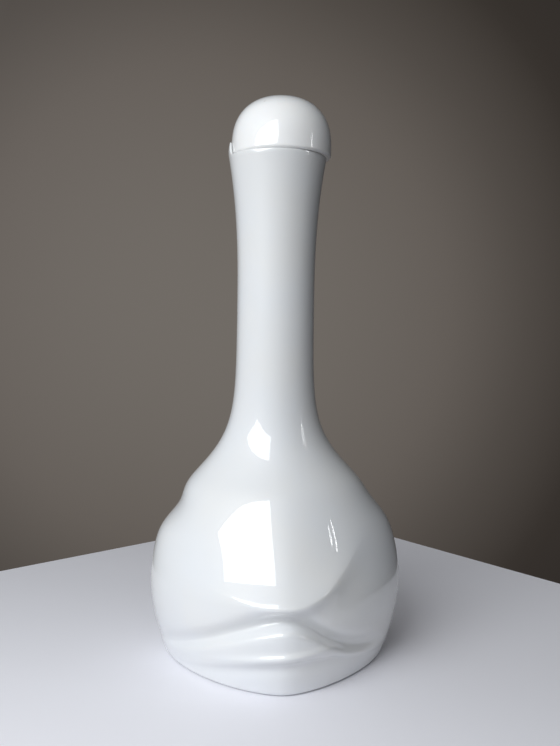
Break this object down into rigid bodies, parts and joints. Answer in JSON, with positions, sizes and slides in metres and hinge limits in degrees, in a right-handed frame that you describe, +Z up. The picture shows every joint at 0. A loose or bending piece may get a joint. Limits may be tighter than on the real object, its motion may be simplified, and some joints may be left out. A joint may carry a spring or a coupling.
{
  "type": "porcelain carafe",
  "caption": "Tall porcelain carafe: round neck, four-cornered carved belly with front and back ridges, pouring lip, and a domed stopper in a cork sleeve.",
  "frame": {"origin": "centre of the foot at the level of the table; the neck's axis stands 2.3 mm from it, towards the lip", "axes": "+Z up along the neck, the front ridge along -Y, the pouring lip along -X"},
  "size_m": [0.1377, 0.147, 0.2996],
  "materials": {
    "vessel_glaze": "clear gloss glaze over white porcelain",
    "stopper_glaze": "clear gloss glaze over white porcelain",
    "cork": "cut cork, matt"
  },
  "bodies": {
    "carafe": {"carafe_body": "vessel_glaze"},
    "stopper": {"stopper": "stopper_glaze", "cork_sleeve": "cork"}
  },
  "joints": [
    {"name": "stopper_lift", "type": "slide", "parent": "carafe", "child": "stopper", "axis": [0, 0, 1], "range_m": [0, 0.06]}
  ]
}
